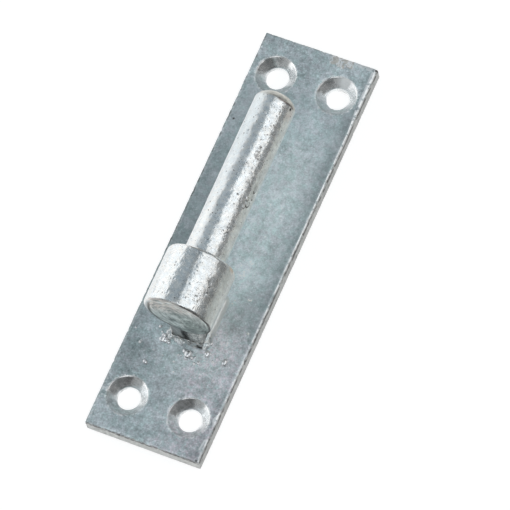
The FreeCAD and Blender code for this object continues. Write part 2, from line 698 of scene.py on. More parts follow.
@dataclass(frozen=True)
class PlateZinc(ZincFinish):
    """Zinc on rolled bar: painted light and shade on the front, a burnt patch, bright countersinks, painted
    highlights on the upper edges and dark lines of painted shade along the sides.
    """

    countersink_radius: float = 6.1
    ring_pitch: float = 0.5
    bore_rough: float = 0.06
    sink_colour: Colour = (0.97, 0.98, 0.98)
    bore_colour: Colour = (0.98, 0.98, 0.98)
    side_colour: Colour = (0.47, 0.47, 0.45)
    end_colour: Colour = (0.64, 0.64, 0.62)
    shade_line_colour: Colour = (0.1, 0.1, 0.1)
    edge_highlight_and_fleck_colour: Colour = (0.92, 0.93, 0.93)
    scorch_colour: Colour = (0.42, 0.39, 0.35)
    ash_colour: Colour = (0.8, 0.76, 0.7)
    crack_colour: Colour = (0.96, 0.96, 0.96)
    warmth: Point = (1.18, 1.03, 1.06)

    def zones(self, coat: Coat) -> None:
        """Dresses the front, the countersinks and the sides in turn.

        Args:
            coat: The coat to change.
        """
        self.tones(coat)
        self.burnt_patch(coat)
        self.countersinks(coat)
        self.sides(coat)

    def tones(self, coat: Coat) -> None:
        """Paints light and shade on the front, roughens its ends and warms its lower right.

        Args:
            coat: The coat to change.
        """
        x, y = coat.x, coat.y
        uneven = coat.cloud(6.0, 3.0) - 0.5
        shifted = x + 7.0 * uneven
        nudged = x + 4.0 * uneven
        # Painted light: beside_pin and near_boss stand for light thrown off the pin's lit side. under_pin,
        # under_heel and round_weld lift the plate where the shade of the pin and the boss falls; round_weld
        # is partly paler zinc. top_end is made lighter. left_strip is painted shade from the pin.
        beside_pin = shifted.near(7.0, 10.5) * y.span(-45.0, -15.0) * y.span(58.0, 36.0)
        near_boss = shifted.near(6.0, 8.0) * y.near(-4.0, 18.0)
        round_weld = (y + 6.0 * uneven).near(-34.0, 11.0) * shifted.span(-10.0, 0.0)
        under_pin = x.near(0.5, 5.0) * y.span(-8.0, 0.0) * y.span(52.0, 40.0)
        under_heel = nudged.near(-10.5, 5.5) * y.near(-31.0, 6.5)
        top_end = shifted.span(-4.0, 6.0) * y.span(46.0, 58.0)
        left_strip = shifted.span(-6.0, -11.0) * y.span(-58.0, -46.0) * y.span(40.0, 10.0)
        light = 0.34 * beside_pin + 0.16 * near_boss + 0.26 * round_weld + 0.2 * top_end - 0.17 * left_strip
        light = (light + 0.24 * under_pin).at_most(0.45) + 0.6 * under_heel
        # Painted shade beside the boss. The lower right corner, the right strip and the upper left are made
        # darker.
        corner = x.span(8.0, 13.0) * y.span(-54.0, -59.0)
        strip_depth = 0.2 + 0.12 * y.near(-13.0, 10.0) + 0.1 * y.span(28.0, 40.0)
        right_strip = strip_depth * x.span(13.5, 16.5) * y.span(-55.0, -49.0)
        upper_left = x.span(-7.0, -10.0) * y.near(40.0, 9.0)
        beside_boss = nudged.near(10.8, 6.0) * y.near(-18.0, 11.0)
        shadow = 0.18 * corner + right_strip + 0.36 * beside_boss + 0.16 * upper_left
        rougher = y.span(-8.0, -32.0).at_least(y.span(46.0, 56.0))
        grit = 1.3 * coat.cloud(0.4, 2.0, 0.7) + 0.9 * coat.cloud(1.2, 2.0, 0.6) - 1.1
        coat.shade(1.06 + light - shadow + 0.85 * rougher * grit)
        warmed = shifted.span(-1.0, 7.0) * y.span(-14.0, -32.0) * coat.cloud(0.9, 3.0, 0.6).span(0.3, 0.65)
        coat.tint(warmed, coat.sheet.stretch(coat.colour, self.warmth))

    def burnt_patch(self, coat: Coat) -> None:
        """Leaves a rough beige patch with pale cracks at the upper end.

        Args:
            coat: The coat to change.
        """
        sheet, x, y = coat.sheet, coat.x, coat.y
        ragged = coat.cloud(2.2, 4.0, 0.7) - 0.5
        patch = (y + 6.0 * ragged).span(60.3, 61.2) * (x + 5.0 * ragged).near(7.2, 4.4).span(0.0, 0.3)
        ash = coat.cloud(0.9, 3.0, 0.7).span(0.3, 0.66)
        burnt = sheet.blend(ash, self.scorch_colour, self.ash_colour)
        bent = coat.cloud(1.3, 2.0) - 0.5
        crack = sheet.seams(sheet.vector(x + 3.0 * bent, 0.7 * y + 4.0 * ragged, bent), 2.6).span(0.13, 0.05)
        coat.tint(0.85 * patch, sheet.blend(crack, burnt, self.crack_colour))

    def countersinks(self, coat: Coat) -> None:
        """Brightens the countersinks, with tool rings, pooled zinc, painted shade on their upper left, a
        broken painted highlight on the rim and clean bores.

        Args:
            coat: The coat to change.
        """
        size, sheet, x, y, z = self.sizes, coat.sheet, coat.x, coat.y, coat.z
        across = x - size.hole_across * (2.0 * x.span(-1.0, 1.0) - 1.0)
        along = y - size.hole_along * (2.0 * y.span(-1.0, 1.0) - 1.0)
        radius = (abs(across) ** 2.0 + abs(along) ** 2.0) ** 0.5
        sink = radius.span(self.countersink_radius, self.countersink_radius - 0.25)
        sink = sink * z.span(size.plate_thickness - 0.05, size.plate_thickness - 0.2)
        rings = 0.5 + 0.5 * (radius * (math.tau / self.ring_pitch)).sine()
        patchy = coat.cloud(1.2, 3.0)
        bright = sheet.blend(0.3 * rings * patchy.span(0.4, 0.65), self.sink_colour, coat.colour)
        upper_right = x.span(-1.0, 1.0) * y.span(-1.0, 1.0)
        # Painted shade on the upper left side of each countersink.
        painted_sink_shade = (0.5 * along - 0.866 * across + 2.5 * (patchy - 0.5) - 0.9 * upper_right).span(1.6, 4.4)
        bright = sheet.shade(bright, 1.0 - (0.1 + 0.5 * patchy) * painted_sink_shade)
        pooled = (along + 3.0 * (patchy - 0.5)).span(0.4, -3.0)
        clean = sink * (1.0 - pooled)
        dull = sheet.shade(coat.colour, 0.62 + 0.35 * patchy)
        coat.tint(sink, sheet.blend(pooled, bright, dull))
        # A broken painted highlight round the rim.
        rim = radius.near(self.countersink_radius, 0.45).span(0.0, 0.6) * z.span(3.6, 4.2)
        coat.tint(0.65 * (rim * coat.cloud(0.8, 3.0, 0.6).span(0.5, 0.6)), self.edge_highlight_and_fleck_colour)
        bore = z.span(1.5, 1.0) * radius.span(size.hole_radius + 0.6, size.hole_radius + 0.4)
        coat.tint(bore, self.bore_colour)
        coat.rough = sheet.number(bore, coat.rough - 0.19 * clean, self.bore_rough)
        chalky = upper_right * (along - 0.8 * abs(across - 0.8) + patchy - 0.5).span(-0.5, 4.6)
        coat.metal = clean.at_least(bore).at_least(coat.metal) - 0.65 * chalky * clean
        coat.relief = 1.0 - (0.7 * clean).at_least(bore)

    def sides(self, coat: Coat) -> None:
        """Pales the sides, paints broken highlights on the upper edges and a broken dark line of painted
        shade between them, and paints shade on the top of the left edge.

        Args:
            coat: The coat to change.
        """
        size, sheet, x, y, z = self.sizes, coat.sheet, coat.x, coat.y, coat.z
        top = size.plate_thickness
        beside = abs(x) - size.plate_width / 2
        beyond = abs(y) - size.plate_length / 2
        outer = beside.at_least(beyond)
        broken = coat.cloud(1.7, 3.0, 0.65)
        side = outer.span(-0.75, -0.4) * z.span(top - 0.3, top - 0.5)
        pale = sheet.blend(beyond.span(-0.8, -0.4), self.side_colour, self.end_colour)
        drawn = sheet.cloud(sheet.stretch(coat.point, (1.0, 1.0, 0.4)), 1.0, 3.0, 0.6)
        coat.tint(0.85 * side, sheet.shade(pale, 0.6 + 0.8 * drawn))
        # The edge mark is a painted highlight along the upper edges, widened near the lower end and towards
        # the upper corner. The scratch and the flecks share its colour.
        run = y.near(-50.3, 2.6)
        corner = y.span(42.0, 52.0)
        upper = 0.12 * y.span(-45.0, -20.0) + 0.12 * y.span(-5.0, 40.0) + 0.15 * y.span(40.0, 50.0)
        lit = (coat.cloud(5.0) + upper).span(0.44, 0.58).at_least(run).at_least(corner)
        edge = (outer + (0.9 * run + 0.8 * corner)).span(-0.75, -0.55) * broken.span(0.38, 0.5) * lit
        edge = edge * z.span(top - 0.7, top - 0.4) * x.span(6.0, 17.0)
        scratch = (x - 0.12 * (y + 58.1)).near(16.2, 0.5) * y.near(-58.1, 2.4).span(0.0, 0.4)
        strewn = beside.span(-4.0, -1.0) * y.span(-42.0, -52.0) * x.span(0.0, -12.0)
        flecks = strewn * coat.cloud(0.7, 2.0, 0.6).span(0.58, 0.66)
        edge = edge.at_least(scratch * z.span(top - 0.4, top - 0.2)).at_least(0.8 * flecks)
        coat.tint(0.9 * edge, self.edge_highlight_and_fleck_colour)
        coat.metal = edge.at_least(coat.metal)
        # Painted shade on the top of the left edge, dimming its reflection.
        left_edge = beside.span(-1.1, -0.5) * x.span(-6.0, -17.0) * z.span(top - 1.8, top - 0.7)
        darkened = (0.15 + 0.45 * y.span(-30.0, -5.0)) * left_edge
        coat.shade(1.0 - darkened * broken.span(0.42, 0.62))
        coat.rough = coat.rough + 0.3 * left_edge
        # The low and end lines are painted shade: a broken dark line along the sides and the ends, below
        # their upper edges.
        upper_run = y.near(37.5, 9.0)
        dashes = (broken + 0.16 * upper_run).span(0.38, 0.52)
        low_line = side * (z + 0.25 * upper_run).near(top - 0.95, 0.85).span(0.1, 0.5) * dashes
        end_line = beyond.span(-0.42, -0.2) * z.span(top - 0.8, top - 0.55)
        end_line = end_line * coat.cloud(0.9, 3.0, 0.7).span(0.42, 0.6)
        near_side = x.span(5.0, 17.0).at_least(y.span(-62.0, -63.0))
        coat.tint(((0.3 + 0.6 * near_side) * low_line).at_least(0.75 * end_line), self.shade_line_colour)


@dataclass(frozen=True)
class PinZinc(ZincFinish):
    """Bright zinc on turned bar: specks, a dull right side and a left side with painted reflection tones,
    painted shade on the boss, a warm tip, a smeared heel with a painted highlight and painted shade on its
    rims, and a neck in painted shade.
    """

    speck_colour: Colour = (0.2, 0.2, 0.2)
    dull_reflection_colour: Colour = (0.66, 0.7, 0.68)
    left_reflection_colour: Colour = (0.56, 0.63, 0.66)
    rust_colour: Colour = (0.55, 0.36, 0.22)
    heel_colour: Colour = (0.58, 0.61, 0.59)
    heel_shade: Colour = (0.33, 0.37, 0.355)
    smear_colour: Colour = (0.82, 0.74, 0.69)
    rim_highlight_colour: Colour = (0.8, 0.82, 0.83)
    painted_shade_colour: Colour = (0.08, 0.08, 0.08)
    neck_shade_colour: Colour = (0.38, 0.38, 0.37)
    neck_pale: Colour = (0.82, 0.82, 0.79)
    tip_colour: Colour = (0.62, 0.6, 0.54)
    tip_line: Colour = (0.16, 0.12, 0.1)
    tip_blush: Colour = (0.75, 0.6, 0.54)

    def zones(self, coat: Coat) -> None:
        """Dresses the parts of the pin in turn.

        Args:
            coat: The coat to change.
        """
        turn = coat.x.bearing(coat.z - self.sizes.axis_height)
        self.right_side(coat, turn)
        self.specks(coat, turn)
        self.tip(coat, turn)
        self.heel(coat, turn)
        self.neck(coat)

    def right_side(self, coat: Coat, turn: Field) -> None:
        """Dulls the right side with a painted reflection tone, paints shade on the boss, tints the upper left
        side as a painted reflection, and leaves a rusty spot at the boss's shoulder.

        Args:
            coat: The coat to change.
            turn: Degrees round the axis from straight up, towards the right.
        """
        shoulder, y = self.sizes.shoulder, coat.y
        boss = y.span(shoulder + 0.5, shoulder - 0.5)
        # The right side is rougher zinc, with a painted reflection tone in its colour.
        dull = turn.span(55.0, 68.0)
        blotch = coat.cloud(0.9, 3.0, 0.65) + coat.cloud(2.6) - 1.0
        # Painted shade on the boss, beside the left edge of its highlight and on its right flank.
        shadow = 0.3 * turn.near(60.0, 13.0) + 0.24 * turn.near(6.0, 8.0) + 0.1 * turn.span(62.0, 70.0)
        coat.shade(1.0 + 0.6 * dull * blotch - boss * shadow)
        coat.tint(0.6 * dull, self.dull_reflection_colour)
        coat.rough = coat.rough + 0.12 * dull + (0.08 - 0.1 * boss) * turn.span(6.0, -8.0)
        # A painted reflection tone on the upper left side of the pin, bluish and darker.
        left_reflection = turn.span(-12.0, -24.0) * y.span(-8.0, 24.0) * turn.span(-75.0, -50.0)
        coat.tint(0.55 * left_reflection, self.left_reflection_colour)
        coat.tint(0.7 * (y.near(shoulder - 0.6, 1.6) * turn.near(73.0, 12.0)), self.rust_colour)

    def specks(self, coat: Coat, turn: Field) -> None:
        """Strews fine dark specks, thickest beside the highlight.

        Args:
            coat: The coat to change.
            turn: Degrees round the axis from straight up, towards the right.
        """
        shoulder, y = self.sizes.shoulder, coat.y
        speck = coat.cloud(0.5, 2.0, 0.6)
        on_pin = y.span(shoulder - 1.0, shoulder + 1.0)
        rubbed = turn.near(35.0, 22.0) * coat.cloud(4.0).span(0.4, 0.65) * (0.4 + 0.6 * on_pin)
        patch = y.near(18.6, 3.0) * turn.near(29.0, 14.0)
        boss_patch = y.near(-26.2, 6.5) * turn.near(27.0, 18.0)
        dark = (speck + 0.1 * rubbed + 0.24 * patch + 0.08 * boss_patch).span(0.63, 0.71)
        spot = coat.cloud(0.85, 1.0) + 0.07 * rubbed + 0.16 * patch + 0.07 * boss_patch
        coat.tint((0.75 * dark).at_least(0.95 * spot.span(0.7, 0.75)), self.speck_colour)
        grit = 0.8 * speck + 0.8 * coat.cloud(1.4, 2.0, 0.6) + 0.5 * coat.cloud(3.2) - 1.05
        coat.shade(1.03 + (0.3 + 0.55 * turn.span(2.0, 14.0)) * grit)
        stain = coat.cloud(1.7, 3.0, 0.65).span(0.58, 0.68) * turn.near(26.0, 20.0).span(0.0, 0.5)
        coat.shade(1.0 - 0.32 * (stain * on_pin))

    def tip(self, coat: Coat, turn: Field) -> None:
        """Warms the tip, with a dark line round its right side.

        Args:
            coat: The coat to change.
            turn: Degrees round the axis from straight up, towards the right.
        """
        start = self.sizes.chamfer_start
        wavy = coat.y + 0.8 * (coat.cloud(1.6, 3.0) - 0.5)
        cap = wavy.span(start - 0.2, start + 0.6)
        beige = coat.sheet.shade(self.tip_colour, 0.5 + coat.cloud(1.3, 3.0, 0.6))
        coat.tint((0.55 + 0.3 * turn.span(-40.0, 20.0)) * cap, beige)
        coat.rough = coat.rough + 0.12 * cap
        coat.tint(0.85 * (wavy.near(start - 0.1, 0.55) * turn.near(46.0, 42.0).span(0.0, 0.4)), self.tip_line)
        coat.tint(0.35 * (coat.y.near(start - 2.5, 3.0) * turn.near(70.0, 25.0)), self.tip_blush)

    def heel(self, coat: Coat, turn: Field) -> None:
        """Smears the heel's face in grey-green and pinkish arcs, with a painted highlight round its left rim
        and a dark rim of painted shade on its right and its lower left.

        Args:
            coat: The coat to change.
            turn: Degrees round the axis from straight up, towards the right.
        """
        heel, edge = self.sizes.heel, self.sizes.boss_radius
        sheet, x, y = coat.sheet, coat.x, coat.y
        up = coat.z - self.sizes.axis_height
        radius = (x ** 2.0 + up ** 2.0) ** 0.5
        face = y.span(heel + 0.3, heel + 0.15)
        arcs = sheet.cloud(sheet.vector(radius * 1.5, turn * 0.045, y), 1.0, 3.0, 0.65)
        streak = sheet.cloud(sheet.vector(radius * 3.0, turn * 0.1, y), 1.0, 3.0, 0.65)
        cloud = coat.cloud(3.0, 3.0, 0.6)
        smear = (up - 0.35 * x + 5.0 * (cloud - 0.5)).span(0.0, 5.0) * arcs.span(0.3, 0.55)
        colour = sheet.blend(0.85 * smear, self.heel_colour, self.smear_colour)
        shaded = (cloud - 0.04 * x).span(0.6, 0.4) * (up + 0.3 * x).span(6.0, 0.0)
        colour = sheet.blend(shaded, colour, self.heel_shade)
        coat.tint(face, sheet.shade(colour, 2.4 * arcs + 0.9 * streak + 1.4 * cloud - 1.2))
        left_end = turn.near(-80.0, 42.0)
        # A painted highlight round the left rim of the heel's face, carrying on the boss's highlight.
        left_rim_highlight = face * radius.span(edge - 1.5, edge - 1.1) * left_end.span(0.1, 0.6)
        coat.tint(0.85 * left_rim_highlight, self.rim_highlight_colour)
        # The dark rim and the lower line are painted shade round the heel's chamfer.
        rim = radius.near(edge - 0.45, 0.5) * y.span(heel + 0.7, heel + 0.4)
        shown = (0.5 + 0.5 * turn.span(-20.0, 25.0)) * arcs.span(0.35, 0.5) * (1.0 - left_end.span(0.0, 0.5))
        lower = face * (radius + 0.7 * left_end).near(edge - 1.0, 0.7) * turn.span(-58.0, -74.0)
        coat.tint((rim * shown).at_least(0.8 * lower), self.painted_shade_colour)
        coat.rough = coat.rough + 0.2 * face

    def neck(self, coat: Coat) -> None:
        """Paints the neck under the boss in uneven shade, with pale weld metal and a hollow painted dark as
        shade on its heel side.

        Args:
            coat: The coat to change.
        """
        size, sheet, x, z = self.sizes, coat.sheet, coat.x, coat.z
        under_boss = size.axis_height - size.boss_radius
        half = size.neck_width / 2
        front = coat.y.span(size.neck_heel + 1.4, size.neck_heel + 0.6)
        # The neck is painted dark as shade under the boss.
        neck = z.span(under_boss + 1.2, under_boss - 0.6) * abs(x).span(half + 0.6, half + 0.2)
        cloud = coat.cloud(1.4, 4.0, 0.65)
        pale = (0.6 * cloud.span(0.5, 0.66)).at_least(x.span(0.5, 3.0) * cloud.span(0.38, 0.56))
        dark = sheet.blend(pale * (0.35 + 0.65 * front), self.neck_shade_colour, self.neck_pale)
        dark = sheet.shade(dark, 0.3 + 1.4 * coat.cloud(0.7, 3.0, 0.7))
        # The hollow is painted dark as shade.
        hollow = (x + 2.0 * (cloud - 0.5)).near(-0.1, 1.7) * z.near(10.0, 4.5).span(0.0, 0.5)
        coat.tint(0.9 * neck, sheet.blend(hollow.span(0.1, 0.6) * front, dark, self.painted_shade_colour))
        coat.rough = coat.rough + 0.15 * neck


@dataclass(frozen=True)
class WeldZinc(ZincFinish):
    """Zinc over weld metal, with a painted highlight along the weld's right side and chalky lumps painted
    near white as highlights.
    """

    right_highlight_colour: Colour = (0.86, 0.88, 0.85)

    def zones(self, coat: Coat) -> None:
        """Paints a highlight on the right side behind its front corner, and takes the metal off the lumps,
        which are painted near white as highlights.

        Args:
            coat: The coat to change.
        """
        size = self.sizes
        # A painted highlight along the weld's right side.
        pale = coat.x.span(size.neck_width / 2, size.neck_width / 2 + 0.5)
        pale = pale * coat.y.span(size.neck_heel + 2.5, size.neck_heel + 6.0)
        coat.tint(0.75 * pale, self.right_highlight_colour)
        coat.rough = coat.rough + 0.15 * pale
        coat.metal = self.metallic * (1.0 - 0.8 * coat.sheet.mark("lump"))


@dataclass
class Piece:
    """One piece of the part: the sizes it is modelled from, its finish and the modelled object."""

    sizes: Sizes
    finish: ZincFinish
    obj: bpy.types.Object = field(init=False)

    def dress(self) -> bpy.types.Object:
        """Puts the finish on the modelled piece and returns it."""
        self.obj.data.materials.append(self.finish.material())
        return self.obj


@dataclass
class BackPlate(Piece):
    """Flat bar with four countersunk screw holes, under an uneven coat of zinc.

    Each pit has its place across and along, its radius and its depth; spare is how far a cutter sticks out.
    """

    countersink_radius: float = 6.0
    bar_edge_radius: float = 0.7
    sheared_edge_radius: float = 0.25
    voxel: float = 0.36
    edge_reach: float = 1.4
    edge_wave: float = 0.16
    pits: tuple[tuple[float, float, float, float], ...] = (
        (-15.3, 35.4, 0.6, 0.25),
        (17.1, 63.0, 0.8, 0.4),
        (16.5, -63.0, 0.6, 0.3),
    )
    spare: float = 0.5
    segments: int = 96

    def build(self) -> bpy.types.Object:
        """Models the plate and dresses it.

        Returns:
            The finished piece.
        """
        size = self.sizes
        half_width, half_length = size.plate_width / 2, size.plate_length / 2
        low = (-half_width, -half_length, 0)
        high = (half_width, half_length, size.plate_thickness + 1)
        self.obj = Bench.block("back_plate_zinc", low, (half_width, half_length, size.plate_thickness))
        self.round_edges()
        for side in (-1, 1):
            for end in (-1, 1):
                self.drill(side * size.hole_across, end * size.hole_along)
        Bench.skin(self.obj, self.voxel, 2)
        self.weather(low, high)
        return self.dress()

    def round_edges(self) -> None:
        """Rounds the rolled long edges, and breaks the sheared ends."""
        top = self.sizes.plate_thickness
        with Bench.editing(self.obj, Select.EDGES):
            Bench.pick_edges(self.obj, lambda a, b: abs(a.y - b.y) > 1)
            bpy.ops.mesh.bevel(offset=self.bar_edge_radius * MM, segments=5, affect="EDGES")
        with Bench.editing(self.obj, Select.EDGES):
            Bench.pick_edges(self.obj, lambda a, b: min(a.z, b.z) > top - 1e-3 and abs(a.y - b.y) < 1e-3)
            bpy.ops.mesh.bevel(offset=self.sheared_edge_radius * MM, segments=2, affect="EDGES")

    def drill(self, across: float, along: float) -> None:
        """Drills and countersinks one screw hole.

        Args:
            across: The hole's place across the plate.
            along: The hole's place along the plate.
        """
        size, spare = self.sizes, self.spare
        top = size.plate_thickness
        depth = self.countersink_radius - size.hole_radius
        Bench.clear()
        bpy.ops.mesh.primitive_cylinder_add(
            vertices=self.segments, radius=size.hole_radius * MM, depth=(top + 2 * spare) * MM,
            location=Vector((across, along, top / 2)) * MM,
        )
        Bench.cut(self.obj, Bench.settle("bore"))
        Bench.clear()
        bpy.ops.mesh.primitive_cone_add(
            vertices=self.segments, radius1=size.hole_radius * MM,
            radius2=(self.countersink_radius + spare) * MM, depth=(depth + spare) * MM,
            location=Vector((across, along, top + (spare - depth) / 2)) * MM,
        )
        Bench.cut(self.obj, Bench.settle("countersink"))

    def weather(self, low: Point, high: Point) -> None:
        """Gives the plate its uneven edges, dips and runs of zinc.

        Args:
            low: Lowest corner that the plate may reach.
            high: Highest corner that the plate may reach.
        """
        size = self.sizes
        relief = Relief(self.obj)
        from_side = size.plate_width / 2 - np.abs(relief.x)
        from_end = size.plate_length / 2 - np.abs(relief.y)
        near_edge = np.clip(1 - np.minimum(from_side, from_end) / self.edge_reach, 0, 1) ** 2
        above_back = np.clip(relief.z, 0, 1)
        coarse = relief.noise(5.0, 1.0)
        fine = relief.noise(1.0, 2.0, 2)
        wave = 0.05 * coarse + 0.02 * fine
        nicks = np.clip(fine - 0.25, 0, 1) * np.where(relief.x < 0, 0.9, 0.5)
        edge = -self.edge_wave * (0.5 + 0.5 * coarse) - 0.1 * (0.5 + 0.5 * fine) - nicks
        relief.push(above_back * (wave * (1 - near_edge) + edge * near_edge))
        for across, along, radius, depth in self.pits:
            relief.dent((across, along, size.plate_thickness), radius, depth, "pit")
        relief.write(low, high)


@dataclass(frozen=True)
class Flake:
    """A raised flake of zinc on the pin: its place along and round the axis, and half its size."""

    along: float
    angle: float
    length: float
    width: float
    height: float


@dataclass
class HingePin(Piece):
    """The pin, its boss and the neck, one piece under bright zinc.

    Each wave of the skin has its height, size and seed.
    """

    flakes: tuple[Flake, ...] = (
        Flake(9.9, 72.0, 1.3, 0.55, 0.25),
        Flake(7.6, 76.0, 1.0, 0.5, 0.22),
        Flake(4.8, 66.0, 0.9, 0.9, 0.25),
        Flake(6.0, 58.0, 0.6, 0.6, 0.15),
        Flake(3.6, 58.0, 0.7, 0.5, 0.12),
    )
    shoulder_round: float = 1.4
    shoulder_steps: int = 6
    heel_chamfer: float = 0.5
    tip_flat_radius: float = 4.1
    tip_bulge: float = 0.35
    tip_shares: tuple[float, ...] = (0.0, 0.3, 0.6, 0.85, 1.0)
    waves: tuple[tuple[float, float, float], ...] = ((0.04, 6.0, 5.0), (0.045, 2.6, 8.0), (0.012, 1.2, 6.0))
    drawn_in: float = 0.06
    pit_depth: float = 0.1
    crack_depth: float = 0.35
    neck_corner_radius: float = 1.0
    voxel: float = 0.24
    segments: int = 192

    def build(self) -> bpy.types.Object:
        """Models the pin and dresses it.

        Returns:
            The finished piece.
        """
        size = self.sizes
        self.obj = self.turn()
        Bench.join(self.obj, [self.neck()])
        Bench.skin(self.obj, self.voxel, 3)
        radius = size.boss_radius
        low = (-radius, size.heel, size.plate_thickness)
        high = (radius, size.tip, size.axis_height + radius)
        self.weather(low, high)
        return self.dress()

    def stations(self) -> list[tuple[float, float]]:
        """The turned outline from the heel to the tip.

        Returns:
            Radius and place along the axis of each step.
        """
        size = self.sizes
        rows = [
            (size.boss_radius - self.heel_chamfer, size.heel),
            (size.boss_radius, size.heel + self.heel_chamfer),
        ]
        for step in range(self.shoulder_steps + 1):
            angle = math.pi / 2 * step / self.shoulder_steps
            inset = self.shoulder_round * (1 - math.cos(angle))
            rise = self.shoulder_round * (1 - math.sin(angle))
            rows.append((size.boss_radius - inset, size.shoulder - rise))
        rows.append((size.pin_radius, size.shoulder))
        rows.append((size.pin_radius, size.chamfer_start - 0.6))
        drop, length = size.pin_radius - self.tip_flat_radius, size.tip - size.chamfer_start
        for share in self.tip_shares:
            bulge = self.tip_bulge * math.sin(math.pi * share)
            rows.append((size.pin_radius - drop * share + bulge, size.chamfer_start + length * share))
        return rows

    def turn(self) -> bpy.types.Object:
        """Turns the pin and the boss: a disc at the heel, drawn out step by step to the tip.

        Returns:
            The turned body.
        """
        size = self.sizes
        rows = self.stations()
        Bench.clear()
        bpy.ops.mesh.primitive_circle_add(
            vertices=self.segments, radius=rows[0][0] * MM, fill_type="NGON",
            location=Vector((0, rows[0][1], size.axis_height)) * MM, rotation=(math.pi / 2, 0, 0),
        )
        body = Bench.settle("hinge_pin_zinc")
        with Bench.editing(body, Select.FACES):
            Bench.pick_all()
            for (radius, place), (new_radius, new_place) in zip(rows, rows[1:]):
                Bench.draw_out(Vector((0, new_place - place, 0)) * MM)
                centre = Vector((0, new_place, size.axis_height)) * MM
                share = new_radius / radius
                bpy.ops.transform.resize(value=(share, 1, share), center_override=centre)
            Bench.face_outward()
        return body

    def neck(self) -> bpy.types.Object:
        """The block that holds the boss off the plate.

        Returns:
            The neck, up to the axis of the boss.
        """
        size = self.sizes
        half = size.neck_width / 2
        low = (-half, size.neck_heel, size.plate_thickness)
        high = (half, size.neck_end, size.axis_height)
        block = Bench.block("neck", low, high)
        with Bench.editing(block, Select.EDGES):
            Bench.pick_edges(block, lambda a, b: abs(a.z - b.z) > 1)
            bpy.ops.mesh.bevel(offset=self.neck_corner_radius * MM, segments=4, affect="EDGES")
        return block

    def weather(self, low: Point, high: Point) -> None:
        """Gives the zinc its waves, pits and lumps.

        Args:
            low: Lowest corner that the piece may reach.
            high: Highest corner that the piece may reach.
        """
        size = self.sizes
        relief = Relief(self.obj)
        above_foot = np.clip(relief.z - size.plate_thickness, 0, 1)
        waves = sum(height * relief.noise(wave, seed) for height, wave, seed in self.waves)
        relief.push(above_foot * (waves - self.drawn_in))
        self.pit_skin(relief)
        self.roughen_neck(relief)
        for flake in self.flakes:
            self.raise_flake(relief, flake)
        relief.dent(self.on_pin(size.chamfer_start - 0.9, math.radians(65)), 0.7, 0.25, "pit")
        relief.write(low, high)

    def raise_flake(self, relief: Relief, flake: Flake) -> None:
        """Raises a flake of zinc with a dark line of painted shade at its foot on one side.

        Args:
            relief: The piece's relief.
            flake: The flake's place and size.
        """
        size = self.sizes
        x, y, z = relief.x, relief.y, relief.z
        radius = np.hypot(x, z - size.axis_height)
        round_axis = (np.arctan2(x, z - size.axis_height) - math.radians(flake.angle)) * radius
        away = np.hypot((y - flake.along) / flake.length, round_axis / flake.width)
        relief.push(flake.height * np.clip(1 - away ** 2, 0, 1) ** 1.5)
        # The foot line on one side is painted shade, carried by the pit mark.
        foot = np.exp(-((away - 1) / 0.22) ** 2) * (round_axis + 0.4 * (flake.along - y) > -0.1)
        relief.marks["pit"] = np.maximum(relief.marks["pit"], 0.8 * foot)

    def on_pin(self, along: float, angle: float) -> Point:
        """A point on the pin's skin.

        Args:
            along: Its place along the axis.
            angle: Its turn round the axis from straight up.

        Returns:
            The point.
        """
        size = self.sizes
        radius = size.pin_radius
        return (radius * math.sin(angle), along, size.axis_height + radius * math.cos(angle))

    def pit_skin(self, relief: Relief) -> None:
        """Eats small uneven pits into the zinc, thickest where the skin was rubbed.

        Args:
            relief: The piece's relief.
        """
        size = self.sizes
        x, y, z = relief.x, relief.y, relief.z
        angle = np.degrees(np.arctan2(x, z - size.axis_height))
        rubbed = np.exp(-((angle - 33) / 14) ** 2)
        patch = np.exp(-((y - 18.5) / 2.2) ** 2 - ((angle - 29) / 11) ** 2)
        boss_patch = np.exp(-((y + 27) / 3.5) ** 2 - ((angle - 33) / 12) ** 2)
        edge = 0.62 - 0.12 * rubbed - 0.4 * patch - 0.15 * boss_patch
        turned = (y > size.heel + 0.7) & (z > size.axis_height - 0.8 * size.boss_radius)
        share = np.clip((relief.noise(0.62, 7.0) - edge) / 0.16, 0, 1) * turned
        relief.push(-self.pit_depth * share)
        relief.marks["pit"] = 0.35 * share

    def roughen_neck(self, relief: Relief) -> None:
        """Leaves weld metal on the right of the neck's heel, with a crack beside it that the pit mark paints
        dark as shade.

        Args:
            relief: The piece's relief.
        """
        size = self.sizes
        x, y, z = relief.x, relief.y, relief.z
        low_part = np.clip((size.axis_height - size.boss_radius + 1 - z) / 1.5, 0, 1)
        foot = np.clip((z - size.plate_thickness) / 0.6, 0, 1)
        right = np.clip((x - 0.4) / 0.6, 0, 1)
        relief.push(low_part * foot * right * (0.25 * relief.noise(1.1, 12.0, 2) + 0.05))
        ragged = 0.5 * relief.noise(1.2, 3.0, 2)
        crack = np.exp(-((x + 0.3 - ragged) / 0.7) ** 2 - ((z - 9.6 - 1.5 * ragged) / 2.6) ** 2)
        crack = crack * low_part * (y < size.neck_heel + 1)
        relief.push(-self.crack_depth * crack)
        # The pit mark paints the crack dark as shade.
        relief.marks["pit"] = np.maximum(relief.marks["pit"], crack)


